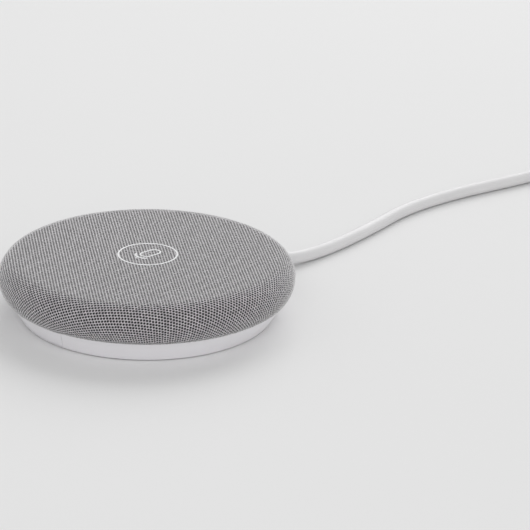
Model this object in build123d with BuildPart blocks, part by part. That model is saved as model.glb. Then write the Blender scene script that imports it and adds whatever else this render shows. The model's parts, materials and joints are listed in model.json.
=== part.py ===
# Table microphone pod: a low round body in knit mesh on a pale moulded base, with a captive lead.
# Millimetres, +Z up. The origin is the middle of the rest face, and the lead leaves along +Y.
from build123d import *
import math
import os

os.makedirs("parts", exist_ok=True)

# How far a cut runs past the face that it opens
cut_past = 1.0

# Pod outline
body_diameter = 102.0
body_height = 21.0
seam_height = 7.9
tuck_drop = 5.8
tuck_in = 2.25
crown_rise = 0.24

# Cloth and the dome that carries it
cloth_thickness = 0.8
cloth_gap = 0.1
hem_width = 2.5
dome_wall = 1.8
dome_rim_width = 2.6
hole_across = 3.0
hole_spacing = 5.6
hole_ring_pitch = 4.5
hole_web = 0.6

# Base
base_step = 0.75
base_taper = 4.6
base_wall = 2.2
base_floor = 1.8
base_edge = 0.8
seam_gap = 0.1
tongue_wall = 1.2
tongue_rise = 1.8
tongue_clearance = 0.3

# Foot
foot_proud = 0.2
foot_groove = 1.0
foot_width = 9.6
foot_margin = 4.0
foot_fit = 0.15

# Case screws and their bosses
screw_count = 4
screw_diameter = 2.5
screw_head_diameter = 4.8
screw_head_height = 1.6
screw_seat = 2.0
screw_reach = 8.5
screw_fit = 0.1
boss_wall = 1.9
boss_gap = 0.1

# Main board
board_gap = 0.2
board_thickness = 1.6
board_margin = 0.4
board_hole_clearance = 0.5
post_diameter = 5.5
post_offset = 15.0
small_screw_diameter = 2.0
small_screw_head_diameter = 3.8
small_screw_head_height = 1.3
small_screw_reach = 3.4

# Ballast
ballast_gap = 1.0
ballast_margin = 1.5
stake_diameter = 4.0
stake_offset = 26.0
stake_head_diameter = 7.0
stake_head_height = 0.5
stake_fit = 0.15

# Chain port, its socket and its cover
port_sill = 0.8
port_lean = 25.3
cover_wall = 1.8
cover_fit = 0.2
cover_top_gap = 0.3
arm_wall = 1.2
arm_fit = 0.3
arm_step = 0.15
arm_height = 2.8
arm_length = 9.0
rib_wall = 0.8
rib_length = 8.0
rib_lead = 2.0
rib_fit = 0.2
socket_width = 11.6
socket_height = 4.8
socket_length = 9.5
socket_setback = 5.2
socket_wall = 0.3
socket_back = 2.2
tongue_width = 9.0
tongue_thickness = 1.2
tongue_setback = 1.0

# Microphones
mic_diameter = 9.7
mic_height = 4.6
mic_lift = 0.2
boot_wall = 1.1
boot_fit = 0.05
boot_channel = 4.0
boot_gap = 0.1
boot_margin = 1.0

# Touch zone
zone_diameter = 23.0
zone_fit = 0.2
zone_line_radius = 10.1
guide_flange = 2.0
guide_flange_height = 0.5
guide_skirt_wall = 1.2
touch_board_diameter = 36.0
touch_board_thickness = 1.0
touch_boss_diameter = 4.4
touch_boss_height = 1.6
touch_screw_circle = 15.7
touch_screw_diameter = 1.6
touch_screw_head_diameter = 3.0
touch_screw_head_height = 1.1
touch_screw_reach = 1.3
led_count = 8
led_size = 1.6
led_height = 0.6

# Parts on the main board
link_length = 10.0
link_width = 3.5
link_offset = 9.0
can_length = 20.0
can_width = 15.0
can_height = 2.4
can_edge = 1.0
can_clearance = 2.8
can_offset = 2.0
chip_height = 1.4
large_chip = (11.0, 11.0)
large_chip_spot = (15.0, 4.0)
small_chip = (6.0, 5.0)
small_chip_spots = [(4.0, 18.0), (-9.0, 18.0), (-13.0, -16.0), (14.0, -15.0)]
header_setback = 2.0
header_length = 5.0
header_width = 12.0
header_height = 4.0

# Lead
cord_diameter = 4.8
gland_reach = 7.0
gland_neck_width = 9.6
gland_root_height = 5.2
gland_root_edge = 2.0
gland_tip_wall = 1.0
gland_flange_width = 14.0
gland_flange_thickness = 1.8
gland_fit = 0.15
cord_joint = 0.5
table_gap = 0.1
bend_share = 0.45
lead_bends = [(2.8, 74.0), (-1.0, 104.0), (-12.5, 147.2), (-1.5, 215.5)]
coil_entry = (-2.6, 271.5)

# Coil in which the rest of the lead is put away
coil_layers = 4
coil_half_turns = 7
coil_pitch = 5.35
coil_outer_radius = 38.2
coil_turn_room = 0.75
tie_width = 12.0
tie_thickness = 1.0
tie_gap = 0.3
tail_straight = 18.0
tail_slope = 34.0

# Plug
plug_width = 14.4
plug_thickness = 5.8
plug_length = 24.0
plug_edge = 1.5
plug_boot_length = 12.0
plug_boot_width = 9.0
plug_shell_width = 10.6
plug_shell_height = 3.8
plug_shell_length = 8.5
plug_shell_wall = 0.3
plug_slot_fit = 0.2

# Curves of the pod: a shallow crown, a round shoulder and a tuck down to the seam
body_radius = body_diameter / 2
widest_height = seam_height + tuck_drop
crown_depth = body_height - widest_height
shoulder_radius = crown_depth - crown_rise
shoulder_centre = body_radius - shoulder_radius
tuck_radius = (tuck_drop**2 + tuck_in**2) / (2 * tuck_in)
tuck_centre = body_radius - tuck_radius
crown_radius = (shoulder_centre**2 + crown_depth**2 - shoulder_radius**2) / (2 * crown_rise)
crown_centre = body_height - crown_radius
crown_angle = math.degrees(math.asin(shoulder_centre / (crown_radius - shoulder_radius)))


def rim_radius(inset, height):
    """Radius of the tucked wall at a height, inset from the cloth's outer face."""
    return tuck_centre + math.sqrt((tuck_radius - inset) ** 2 - (widest_height - height) ** 2)


def crown_height(inset, radius):
    """Height of the crowned top at a radius, inset from the cloth's outer face."""
    return crown_centre + math.sqrt((crown_radius - inset) ** 2 - radius**2)


def top_curve(inset):
    """Crown and shoulder, from the axis to the widest height."""
    CenterArc((0, crown_centre), crown_radius - inset, 90 - crown_angle, crown_angle)
    CenterArc((shoulder_centre, widest_height), shoulder_radius - inset, 0, 90 - crown_angle)


def tuck_curve(inset, rim_height):
    """Tuck from the widest height down to the rim."""
    drop = math.degrees(math.asin((widest_height - rim_height) / (tuck_radius - inset)))
    CenterArc((tuck_centre, widest_height), tuck_radius - inset, -drop, drop)


# Levels and radii that several pieces share
dome_inset = cloth_thickness + cloth_gap
dome_under = dome_inset + dome_wall
hem_top = seam_height + cloth_thickness
dome_rim = hem_top + cloth_gap
seat_top = seam_height - seam_gap
base_bottom = foot_proud
floor_top = base_bottom + base_floor
base_top_radius = rim_radius(0, seam_height) - base_step
base_low_radius = base_top_radius - base_taper
floor_radius = base_low_radius - base_wall
dome_rim_outer = rim_radius(dome_inset, dome_rim)
dome_rim_inner = dome_rim_outer - dome_rim_width
tongue_outer = dome_rim_inner - tongue_clearance
tongue_inner = tongue_outer - tongue_wall
foot_outer = base_low_radius - foot_margin
foot_inner = foot_outer - foot_width
boss_circle = (foot_outer + foot_inner) / 2
boss_radius = screw_head_diameter / 2 + screw_fit + boss_wall / 2
dome_boss_radius = screw_diameter / 2 + boss_wall
board_rise = max(cord_diameter, socket_height) + board_gap
board_bottom = floor_top + board_rise
board_top = board_bottom + board_thickness
board_radius = floor_radius - board_margin
boss_top = board_bottom - 2 * boss_gap
screw_seat_height = base_bottom + foot_groove + screw_seat
ballast_radius = floor_radius - ballast_margin
ballast_thickness = board_rise - stake_head_height - 2 * stake_fit
ballast_top = floor_top + ballast_thickness
ballast_depth = 2 * (boss_circle * math.cos(math.pi / screw_count) - boss_radius - ballast_gap)
post_depth = (ballast_depth + post_diameter) / 2 + ballast_gap
post_spots = [(x, y) for x in (-post_offset, post_offset) for y in (-post_depth, post_depth)]
boot_radius = mic_diameter / 2 + boot_fit + boot_wall
mic_circle = board_radius - boot_radius - boot_margin
can_spot = (boot_radius + can_clearance + can_length / 2 - mic_circle, can_offset)
touch_board_top = crown_height(dome_under, 0) - touch_boss_height
touch_board_bottom = touch_board_top - touch_board_thickness
cord_radius = cord_diameter / 2
cord_exit_height = floor_top + cord_radius
gland_end = base_top_radius + gland_reach
socket_face = floor_radius - socket_setback
socket_axis = board_bottom - socket_height / 2
port_floor = base_bottom + port_sill
rib_inner = socket_width / 2 + rib_fit
arm_inner = rib_inner + rib_wall + arm_fit
arm_outer = arm_inner + arm_wall
arm_low = floor_top + cover_top_gap


def port_half(height):
    """Half the width of the chain port at a height. Its sides lean outward."""
    return arm_outer + arm_step + cover_fit + (height - arm_low) * math.tan(math.radians(port_lean))


port_inner = math.sqrt(floor_radius**2 - port_half(floor_top) ** 2)


def base_radius(height):
    """Radius of the base's tapered outer wall at a height."""
    return base_low_radius + base_taper * (height - base_bottom) / (seat_top - base_bottom)


def hole_spots():
    """Middles of the dome's holes, ring by ring, clear of the zone, the bosses and the shoulder."""
    keep_off = dome_boss_radius + hole_across / 2 + hole_web
    bosses = [
        (boss_circle * math.cos(turn), boss_circle * math.sin(turn))
        for turn in (2 * math.pi * (n + 0.5) / screw_count for n in range(screw_count))
    ]
    spots = []
    ring = touch_screw_circle + touch_boss_diameter / 2 + hole_across / 2 + hole_web
    while ring < shoulder_centre - hole_across / 2:
        count = 4 * int(2 * math.pi * ring / hole_spacing / 4)
        for n in range(count):
            turn = 2 * math.pi * n / count
            spot = (ring * math.cos(turn), ring * math.sin(turn))
            if all(math.dist(spot, boss) > keep_off for boss in bosses):
                spots.append(spot)
        ring += hole_ring_pitch
    return spots


def save(piece, name):
    """Names a finished piece and writes its file."""
    piece.label = name
    export_step(piece, f"parts/{name}.step")


# Knit cover, with its hem turned in under the rim of the dome
hem_radius = rim_radius(0, seam_height) - hem_width
with BuildPart() as fabric_cover:
    with BuildSketch(Plane.XZ):
        with BuildLine():
            top_curve(0)
            tuck_curve(0, seam_height)
            top_curve(cloth_thickness)
            tuck_curve(cloth_thickness, hem_top)
            Line((0, body_height), (0, body_height - cloth_thickness))
            Polyline(
                (rim_radius(0, seam_height), seam_height),
                (hem_radius, seam_height),
                (hem_radius, hem_top),
                (rim_radius(cloth_thickness, hem_top), hem_top),
            )
        make_face()
    revolve(axis=Axis.Z)
save(fabric_cover.part, "fabric_cover")

# Perforated dome with screw bosses below and a window for the touch zone
dome_boss_bottom = boss_top + boss_gap
with BuildPart() as grille_dome:
    with BuildSketch(Plane.XZ):
        with BuildLine():
            top_curve(dome_inset)
            tuck_curve(dome_inset, dome_rim)
            top_curve(dome_under)
            Line((0, body_height - dome_inset), (0, body_height - dome_under))
            Polyline(
                (dome_rim_outer, dome_rim),
                (dome_rim_inner, dome_rim),
                (body_radius - dome_under, widest_height),
            )
        make_face()
    revolve(axis=Axis.Z)
    with BuildSketch(Plane.XY.offset(dome_boss_bottom)):
        with PolarLocations(boss_circle, screw_count, start_angle=180 / screw_count):
            Circle(dome_boss_radius)
    extrude(amount=crown_height(dome_under, boss_circle) + dome_wall / 2 - dome_boss_bottom)
    with BuildSketch(Plane.XY.offset(touch_board_top)):
        with PolarLocations(touch_screw_circle, 3, start_angle=90):
            Circle(touch_boss_diameter / 2)
    extrude(amount=touch_boss_height + dome_wall / 2)
    with BuildSketch(Plane.XY.offset(dome_boss_bottom)):
        with PolarLocations(boss_circle, screw_count, start_angle=180 / screw_count):
            Circle(screw_diameter / 2 + screw_fit)
    extrude(amount=screw_reach, mode=Mode.SUBTRACT)
    with BuildSketch(Plane.XY.offset(touch_board_top)):
        with PolarLocations(touch_screw_circle, 3, start_angle=90):
            Circle(touch_screw_diameter / 2 + screw_fit)
    extrude(amount=touch_screw_reach + 2 * screw_fit, mode=Mode.SUBTRACT)
    with BuildSketch(Plane.XY.offset(body_height)):
        Circle(zone_diameter / 2)
        with Locations(hole_spots()):
            RegularPolygon(hole_across / 2, 6)
    extrude(amount=-(dome_under + cut_past), mode=Mode.SUBTRACT)
save(grille_dome.part, "grille_dome")

# Base: tapered wall, locating tongue, foot groove, bosses, posts, heat stakes and the two wall notches
with BuildPart() as base_shell:
    with BuildSketch(Plane.XZ):
        Polygon(
            (0, base_bottom),
            (base_low_radius, base_bottom),
            (base_top_radius, seat_top),
            (tongue_outer, seat_top),
            (tongue_outer, seat_top + tongue_rise),
            (tongue_inner, seat_top + tongue_rise),
            (tongue_inner, seat_top),
            (floor_radius, floor_top),
            (0, floor_top),
            align=None,
        )
    revolve(axis=Axis.Z)
    fillet(base_shell.edges().filter_by(GeomType.CIRCLE).group_by(Axis.Z)[0], radius=base_edge)
    with BuildSketch(Plane.XY.offset(floor_top)):
        with PolarLocations(boss_circle, screw_count, start_angle=180 / screw_count):
            Circle(boss_radius)
    extrude(amount=boss_top - floor_top)
    with BuildSketch(Plane.XY.offset(floor_top)):
        with Locations(post_spots):
            Circle(post_diameter / 2)
    extrude(amount=board_rise)
    with BuildSketch(Plane.XY.offset(floor_top)):
        with Locations((-stake_offset, 0), (stake_offset, 0)):
            Circle(stake_diameter / 2)
    extrude(amount=ballast_thickness + stake_fit + stake_head_height)
    with BuildSketch(Plane.XY.offset(ballast_top + stake_fit)):
        with Locations((-stake_offset, 0), (stake_offset, 0)):
            Circle(stake_head_diameter / 2)
    extrude(amount=stake_head_height)
    for side in (-1, 1):
        rib_middle = side * (rib_inner + rib_wall / 2)
        with Locations((rib_middle, rib_length / 2 - rib_lead - socket_face, (floor_top + socket_axis) / 2)):
            Box(rib_wall, rib_length, socket_axis - floor_top)
    with BuildSketch(Plane.XY.offset(base_bottom)):
        Circle(foot_outer + foot_fit)
        Circle(foot_inner - foot_fit, mode=Mode.SUBTRACT)
    extrude(amount=foot_groove, mode=Mode.SUBTRACT)
    with BuildSketch(Plane.XY.offset(base_bottom)):
        with PolarLocations(boss_circle, screw_count, start_angle=180 / screw_count):
            Circle(screw_head_diameter / 2 + screw_fit)
    extrude(amount=screw_seat_height - base_bottom, mode=Mode.SUBTRACT)
    with BuildSketch(Plane.XY.offset(base_bottom)):
        with PolarLocations(boss_circle, screw_count, start_angle=180 / screw_count):
            Circle(screw_diameter / 2 + screw_fit)
    extrude(amount=boss_top, mode=Mode.SUBTRACT)
    with BuildSketch(Plane.XY.offset(board_bottom)):
        with Locations(post_spots):
            Circle(small_screw_diameter / 2 + screw_fit)
    extrude(amount=-small_screw_reach - screw_fit, mode=Mode.SUBTRACT)
    with BuildSketch(Plane.XZ.offset(port_inner)):
        Polygon(
            (-port_half(port_floor), port_floor),
            (port_half(port_floor), port_floor),
            (port_half(body_height), body_height),
            (-port_half(body_height), body_height),
            align=None,
        )
    extrude(amount=body_radius - port_inner, mode=Mode.SUBTRACT)
    with BuildSketch(Plane.XY.offset(floor_top)):
        with Locations((0, (port_inner + body_radius) / 2)):
            Rectangle(gland_neck_width + 2 * gland_fit, body_radius - port_inner)
    extrude(amount=body_height, mode=Mode.SUBTRACT)
save(base_shell.part, "base_shell")

# Rubber ring that the pod stands on
with BuildPart() as foot_ring:
    with BuildSketch():
        Circle(foot_outer)
        Circle(foot_inner, mode=Mode.SUBTRACT)
    extrude(amount=foot_proud + foot_groove - foot_fit)
    fillet(foot_ring.faces().sort_by(Axis.Z)[0].edges(), radius=foot_proud / 2)
save(foot_ring.part, "foot_ring")

# Steel weight, held down by the heat stakes
with BuildPart() as ballast_plate:
    with BuildSketch(Plane.XY.offset(floor_top)):
        Circle(ballast_radius)
        Rectangle(2 * ballast_radius, ballast_depth, mode=Mode.INTERSECT)
        with Locations((-stake_offset, 0), (stake_offset, 0)):
            Circle(stake_diameter / 2 + stake_fit, mode=Mode.SUBTRACT)
    extrude(amount=ballast_thickness)
save(ballast_plate.part, "ballast_plate")

# Main board on its four posts, with room for the dome's bosses
with BuildPart() as main_board:
    with BuildSketch(Plane.XY.offset(board_bottom)):
        Circle(board_radius)
        with PolarLocations(boss_circle, screw_count, start_angle=180 / screw_count):
            Circle(dome_boss_radius + board_hole_clearance, mode=Mode.SUBTRACT)
        with Locations(post_spots):
            Circle(small_screw_diameter / 2 + screw_fit, mode=Mode.SUBTRACT)
    extrude(amount=board_thickness)
save(main_board.part, "main_board")

# Screening can and chips on the board
with BuildPart() as shield_can:
    with BuildSketch(Plane.XY.offset(board_top)):
        with Locations(can_spot):
            RectangleRounded(can_length, can_width, can_edge)
    extrude(amount=can_height)
save(shield_can.part, "shield_can")

with BuildPart() as board_chips:
    with BuildSketch(Plane.XY.offset(board_top)):
        with Locations(large_chip_spot):
            Rectangle(*large_chip)
        with Locations(small_chip_spots):
            Rectangle(*small_chip)
    extrude(amount=chip_height)
save(board_chips.part, "board_chips")

# Chain socket under the board: a metal shell open to the front, and the moulding that holds its contacts
socket_middle = -socket_face + socket_length / 2
with BuildPart() as port_socket:
    with Locations((0, socket_middle, socket_axis)):
        Box(socket_width, socket_length, socket_height)
        Box(
            socket_width - 2 * socket_wall,
            socket_length,
            socket_height - 2 * socket_wall,
            mode=Mode.SUBTRACT,
        )
save(port_socket.part, "port_socket")

with BuildPart() as socket_tongue:
    with Locations((0, -socket_face + socket_length - socket_back / 2, socket_axis)):
        Box(socket_width - 2 * socket_wall, socket_back, socket_height - 2 * socket_wall)
    with Locations((0, socket_middle + tongue_setback / 2, socket_axis)):
        Box(tongue_width, socket_length - tongue_setback, tongue_thickness)
save(socket_tongue.part, "socket_tongue")

# Cover of the chain port: a piece of the base's wall on two arms that grip the ribs beside the socket
cover_low = port_floor + cover_fit
cover_high = seat_top - cover_top_gap
arm_drop = base_low_radius - math.sqrt(base_low_radius**2 - arm_outer**2)
with BuildPart() as port_cover:
    with BuildSketch(Plane.XZ):
        Polygon(
            (base_radius(cover_low), cover_low),
            (base_radius(cover_high), cover_high),
            (base_radius(cover_high) - cover_wall, cover_high),
            (base_radius(cover_low) - cover_wall, cover_low),
            align=None,
        )
    revolve(axis=Axis.Z)
    with BuildSketch(Plane.XZ):
        Polygon(
            (cover_fit - port_half(cover_low), cover_low),
            (port_half(cover_low) - cover_fit, cover_low),
            (port_half(cover_high) - cover_fit, cover_high),
            (cover_fit - port_half(cover_high), cover_high),
            align=None,
        )
    extrude(amount=body_radius, mode=Mode.INTERSECT)
    for inner_face in (-arm_outer, arm_inner):
        with BuildSketch(Plane.YZ.offset(inner_face)):
            root = [
                (arm_drop + cover_wall / 2 - base_radius(height), height)
                for height in (arm_low + arm_height, arm_low)
            ]
            tip = root[1][0] + arm_length
            Polygon((tip, arm_low), (tip, arm_low + arm_height), *root, align=None)
        extrude(amount=arm_wall)
save(port_cover.part, "port_cover")

# Lead entry: moulded gland that drops into the rear notch, with a flange inside the wall
gland_axis = cord_exit_height
neck_inner = floor_radius - gland_fit
neck_low = floor_top + gland_fit
neck_high = seat_top - gland_fit
flange_outer = math.sqrt(neck_inner**2 - (gland_flange_width / 2) ** 2)
flange_top = gland_axis + cord_radius
with BuildPart() as cord_gland:
    with BuildSketch(Plane.XZ.offset(-flange_outer)):
        with Locations((0, gland_axis)):
            Rectangle(gland_flange_width, cord_diameter)
    extrude(amount=gland_flange_thickness)
    with BuildSketch(Plane.YZ):
        Polygon(
            (flange_outer, neck_low),
            (base_radius(neck_low), neck_low),
            (base_radius(neck_high), neck_high),
            (neck_inner, neck_high),
            (neck_inner, flange_top),
            (flange_outer, flange_top),
            align=None,
        )
    extrude(amount=gland_neck_width / 2, both=True)
    with BuildSketch(Plane.XZ.offset(-base_radius(gland_axis))):
        with Locations((0, gland_axis)):
            RectangleRounded(gland_neck_width, gland_root_height, gland_root_edge)
    with BuildSketch(Plane.XZ.offset(-gland_end)):
        with Locations((0, gland_axis)):
            Circle(cord_radius + gland_tip_wall)
    loft()
    with BuildSketch(Plane.XZ):
        with Locations((0, gland_axis)):
            Circle(cord_radius + screw_fit / 2)
    extrude(amount=-(gland_end + cut_past), mode=Mode.SUBTRACT)
save(cord_gland.part, "cord_gland")

# Connector under the board, and the lead from it out through the gland
header_rear = ballast_depth / 2 + header_setback + header_length
with BuildPart() as lead_header:
    with Locations((0, header_rear - header_length / 2, board_bottom - header_height / 2)):
        Box(header_width, header_length, header_height)
save(lead_header.part, "lead_header")

with BuildPart() as inner_lead:
    with BuildSketch(Plane.XZ.offset(-header_rear)):
        with Locations((0, gland_axis)):
            Circle(cord_radius)
    extrude(amount=-(gland_end - header_rear))
save(inner_lead.part, "inner_lead")

# Four microphones in rubber boots that seal them to the dome
boot_top = crown_height(dome_under, mic_circle + boot_radius) - boot_gap
pocket_top = board_top + mic_lift + mic_height + boot_gap
for turn, place in zip((0, 90, 180, 270), ("right", "rear", "left", "front")):
    spot = (mic_circle * math.cos(math.radians(turn)), mic_circle * math.sin(math.radians(turn)))
    with BuildPart() as mic_capsule:
        with BuildSketch(Plane.XY.offset(board_top + mic_lift)):
            with Locations(spot):
                Circle(mic_diameter / 2)
        extrude(amount=mic_height)
    save(mic_capsule.part, f"mic_capsule_{place}")
    with BuildPart() as mic_boot:
        with BuildSketch(Plane.XY.offset(board_top)):
            with Locations(spot):
                Circle(boot_radius)
        extrude(amount=boot_top - board_top)
        with BuildSketch(Plane.XY.offset(board_top)):
            with Locations(spot):
                Circle(mic_diameter / 2 + boot_fit)
        extrude(amount=pocket_top - board_top, mode=Mode.SUBTRACT)
        with BuildSketch(Plane.XY.offset(board_top)):
            with Locations(spot):
                Circle(boot_channel / 2)
        extrude(amount=boot_top, mode=Mode.SUBTRACT)
    save(mic_boot.part, f"mic_boot_{place}")

# Touch board under the dome, its lights, the light guide in the dome's window and the link to the main board
with BuildPart() as touch_board:
    with BuildSketch(Plane.XY.offset(touch_board_bottom)):
        Circle(touch_board_diameter / 2)
        with PolarLocations(touch_screw_circle, 3, start_angle=90):
            Circle(touch_screw_diameter / 2 + screw_fit, mode=Mode.SUBTRACT)
    extrude(amount=touch_board_thickness)
save(touch_board.part, "touch_board")

with BuildPart() as status_leds:
    with BuildSketch(Plane.XY.offset(touch_board_top)):
        with PolarLocations(zone_line_radius, led_count):
            Rectangle(led_size, led_size)
    extrude(amount=led_height)
save(status_leds.part, "status_leds")

guide_radius = zone_diameter / 2 - zone_fit
guide_flange_radius = guide_radius + guide_flange
guide_flange_top = crown_height(dome_under, guide_flange_radius) - zone_fit
with BuildPart() as light_guide:
    with BuildSketch(Plane.XY.offset(touch_board_top)):
        Circle(guide_flange_radius)
        Circle(guide_flange_radius - guide_skirt_wall, mode=Mode.SUBTRACT)
    extrude(amount=guide_flange_top - touch_board_top)
    with BuildSketch(Plane.XY.offset(guide_flange_top - guide_flange_height)):
        Circle(guide_flange_radius)
    extrude(amount=guide_flange_height)
    with BuildSketch(Plane.XY.offset(guide_flange_top - guide_flange_height)):
        Circle(guide_radius)
    extrude(amount=crown_height(dome_inset, guide_radius) - guide_flange_top + guide_flange_height)
save(light_guide.part, "light_guide")

with BuildPart() as board_link:
    with BuildSketch(Plane.XY.offset(board_top)):
        with Locations((0, -link_offset)):
            Rectangle(link_length, link_width)
    extrude(amount=touch_board_bottom - board_top)
save(board_link.part, "board_link")

# Fasteners: heads first, then shanks
with BuildPart() as case_screws:
    with BuildSketch(Plane.XY.offset(screw_seat_height)):
        with PolarLocations(boss_circle, screw_count, start_angle=180 / screw_count):
            Circle(screw_head_diameter / 2)
    extrude(amount=-screw_head_height)
    with BuildSketch(Plane.XY.offset(screw_seat_height)):
        with PolarLocations(boss_circle, screw_count, start_angle=180 / screw_count):
            Circle(screw_diameter / 2)
    extrude(amount=dome_boss_bottom + screw_reach - screw_fit - screw_seat_height)
save(case_screws.part, "case_screws")

with BuildPart() as board_screws:
    with BuildSketch(Plane.XY.offset(board_top)):
        with Locations(post_spots):
            Circle(small_screw_head_diameter / 2)
    extrude(amount=small_screw_head_height)
    with BuildSketch(Plane.XY.offset(board_top)):
        with Locations(post_spots):
            Circle(small_screw_diameter / 2)
    extrude(amount=-(board_thickness + small_screw_reach))
save(board_screws.part, "board_screws")

with BuildPart() as touch_screws:
    with BuildSketch(Plane.XY.offset(touch_board_bottom)):
        with PolarLocations(touch_screw_circle, 3, start_angle=90):
            Circle(touch_screw_head_diameter / 2)
    extrude(amount=-touch_screw_head_height)
    with BuildSketch(Plane.XY.offset(touch_board_bottom)):
        with PolarLocations(touch_screw_circle, 3, start_angle=90):
            Circle(touch_screw_diameter / 2)
    extrude(amount=touch_board_thickness + touch_screw_reach)
save(touch_screws.part, "touch_screws")


# Lead on the table
def bend_radii(points):
    """Radius at each corner of a route, from the shorter of its two runs."""
    radii = []
    for before, corner, after in zip(points, points[1:], points[2:]):
        run_in = Vector(*corner) - Vector(*before)
        run_out = Vector(*after) - Vector(*corner)
        half_turn = math.radians(run_in.get_angle(run_out)) / 2
        radii.append(bend_share * min(run_in.length, run_out.length) / math.tan(half_turn))
    return radii


def tell(name, tube, length):
    """Prints a tube's length and compares its volume with section times length."""
    share = tube.volume / (math.pi * cord_radius**2 * length)
    print(name, "length", round(length, 1), "volume share", round(share, 4))


lie_height = cord_radius + table_gap
coil_height = table_gap + tie_thickness + tie_gap + cord_radius
coil_start = (*coil_entry, coil_height)
lead_points = [
    (0, gland_end + cord_joint, cord_exit_height),
    *((x, y, lie_height) for x, y in lead_bends),
    (coil_start[0], coil_start[1] - cord_joint, coil_start[2]),
]
lead_radii = bend_radii(lead_points)
print("cord_lead radii", [round(radius, 1) for radius in lead_radii])
with BuildPart() as cord_lead:
    with BuildLine() as lead_path:
        FilletPolyline(*lead_points, radius=lead_radii)
    lead_wire = lead_path.wires()[0]
    with BuildSketch(Plane(origin=lead_wire @ 0, z_dir=lead_wire % 0)):
        Circle(cord_radius)
    sweep(path=lead_wire)
tell("cord_lead", cord_lead.part, lead_wire.length)
save(cord_lead.part, "cord_lead")

# The coil goes in and out in layers, each a run of half circles whose radius changes by a half pitch
# a half turn. In the half turn where it reverses, two arcs climb to the next layer.
coil_x = coil_start[0] + coil_outer_radius
coil_y = coil_start[1] + cord_diameter


def coil_radii(layer):
    """Distances from the coil's middle at the ends of a layer's half turns, with room where it reverses."""
    radii = [coil_outer_radius - n * coil_pitch / 2 for n in range(coil_half_turns + 1)]
    radii[-1] -= coil_turn_room
    if layer > 0 and layer < coil_layers - 1:
        radii[0] += coil_turn_room
    return radii if layer % 2 == 0 else radii[::-1]


def climb_arcs(start, end, way):
    """Two arcs, tangent to each other and to the layers that they join."""
    middle_x = (start[0] + end[0]) / 2
    reach = math.sqrt(((end[0] - start[0]) / 2) ** 2 + ((end[2] - start[2]) / 2) ** 2)
    middle = (middle_x, start[1] + way * reach, (start[2] + end[2]) / 2)
    first = TangentArc(start, middle, tangent=(0, way, 0))
    TangentArc(middle, end, tangent=first % 1)


with BuildPart() as cord_coil:
    with BuildLine() as coil_path:
        side, way = -1, 1
        here = (coil_x + side * coil_outer_radius, coil_y, coil_height)
        Line(coil_start, here)
        for layer in range(coil_layers):
            height = coil_height + layer * coil_pitch
            radii = coil_radii(layer)
            if layer > 0:
                there = (coil_x - side * radii[0], coil_y, height)
                climb_arcs(here, there, way)
                here, side, way = there, -side, -way
            for radius in radii[1:]:
                there = (coil_x - side * radius, coil_y, height)
                TangentArc(here, there, tangent=(0, way, 0))
                here, side, way = there, -side, -way
        coil_end = (here[0], here[1] + way * cord_diameter, here[2])
        Line(here, coil_end)
    coil_wire = coil_path.wires()[0]
    with BuildSketch(Plane(origin=coil_wire @ 0, z_dir=coil_wire % 0)):
        Circle(cord_radius)
    sweep(path=coil_wire)
tell("cord_coil", cord_coil.part, coil_wire.length)
sample_step = 2.0
sample_count = int(coil_wire.length / sample_step)
samples = [tuple(coil_wire @ (n / sample_count)) for n in range(sample_count + 1)]
apart = int(6 * cord_diameter / sample_step)
least = min(
    math.dist(samples[a], samples[b])
    for a in range(len(samples))
    for b in range(a + apart, len(samples))
)
print("cord_coil least gap to itself", round(least - cord_diameter, 2))
save(cord_coil.part, "cord_coil")

# Strap round the far side of the coil
coil_top = coil_height + (coil_layers - 1) * coil_pitch + cord_radius
tie_room = coil_turn_room + cord_radius + tie_gap
tie_in = coil_outer_radius - (coil_half_turns / 2 + 0.25) * coil_pitch - tie_room
tie_out = coil_outer_radius + tie_room
tie_bottom = table_gap
tie_top = coil_top + tie_gap + tie_thickness
with BuildPart() as cord_tie:
    with BuildSketch(Plane.YZ.offset(coil_x)):
        with Locations((coil_y + (tie_in + tie_out) / 2, (tie_bottom + tie_top) / 2)):
            RectangleRounded(
                tie_out - tie_in + 2 * tie_thickness,
                tie_top - tie_bottom,
                2 * tie_thickness,
            )
            RectangleRounded(
                tie_out - tie_in,
                tie_top - tie_bottom - 2 * tie_thickness,
                tie_thickness,
                mode=Mode.SUBTRACT,
            )
    extrude(amount=tie_width / 2, both=True)
save(cord_tie.part, "cord_tie")

# Tail from the top of the coil down to the plug, which lies beside it
plug_axis = plug_thickness / 2 + table_gap
tail_points = [
    coil_end,
    (coil_end[0], coil_end[1] - tail_straight, coil_end[2]),
    (coil_end[0], coil_end[1] - tail_straight - tail_slope, plug_axis),
    (coil_end[0], coil_end[1] - 2 * tail_straight - tail_slope, plug_axis),
]
tail_radii = bend_radii(tail_points)
print("cord_tail radii", [round(radius, 1) for radius in tail_radii])
with BuildPart() as cord_tail:
    with BuildLine() as tail_path:
        FilletPolyline(*tail_points, radius=tail_radii)
    tail_wire = tail_path.wires()[0]
    with BuildSketch(Plane(origin=tail_wire @ 0, z_dir=tail_wire % 0)):
        Circle(cord_radius)
    sweep(path=tail_wire)
tell("cord_tail", cord_tail.part, tail_wire.length)
save(cord_tail.part, "cord_tail")
print("lead in all", round(lead_wire.length + coil_wire.length + tail_wire.length + gland_end - header_rear))

# Plug: strain relief, grip, metal shell and the moulding inside it, all along -Y
boot_end = tail_points[-1]
grip_end = boot_end[1] - plug_boot_length
shell_root = grip_end - plug_length
with BuildPart() as plug_boot:
    with BuildSketch(Plane.XZ.offset(-boot_end[1])):
        with Locations((boot_end[0], plug_axis)):
            Circle(plug_thickness / 2)
    with BuildSketch(Plane.XZ.offset(-grip_end)):
        with Locations((boot_end[0], plug_axis)):
            RectangleRounded(plug_boot_width, plug_thickness, plug_edge)
    loft()
save(plug_boot.part, "plug_boot")

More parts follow.
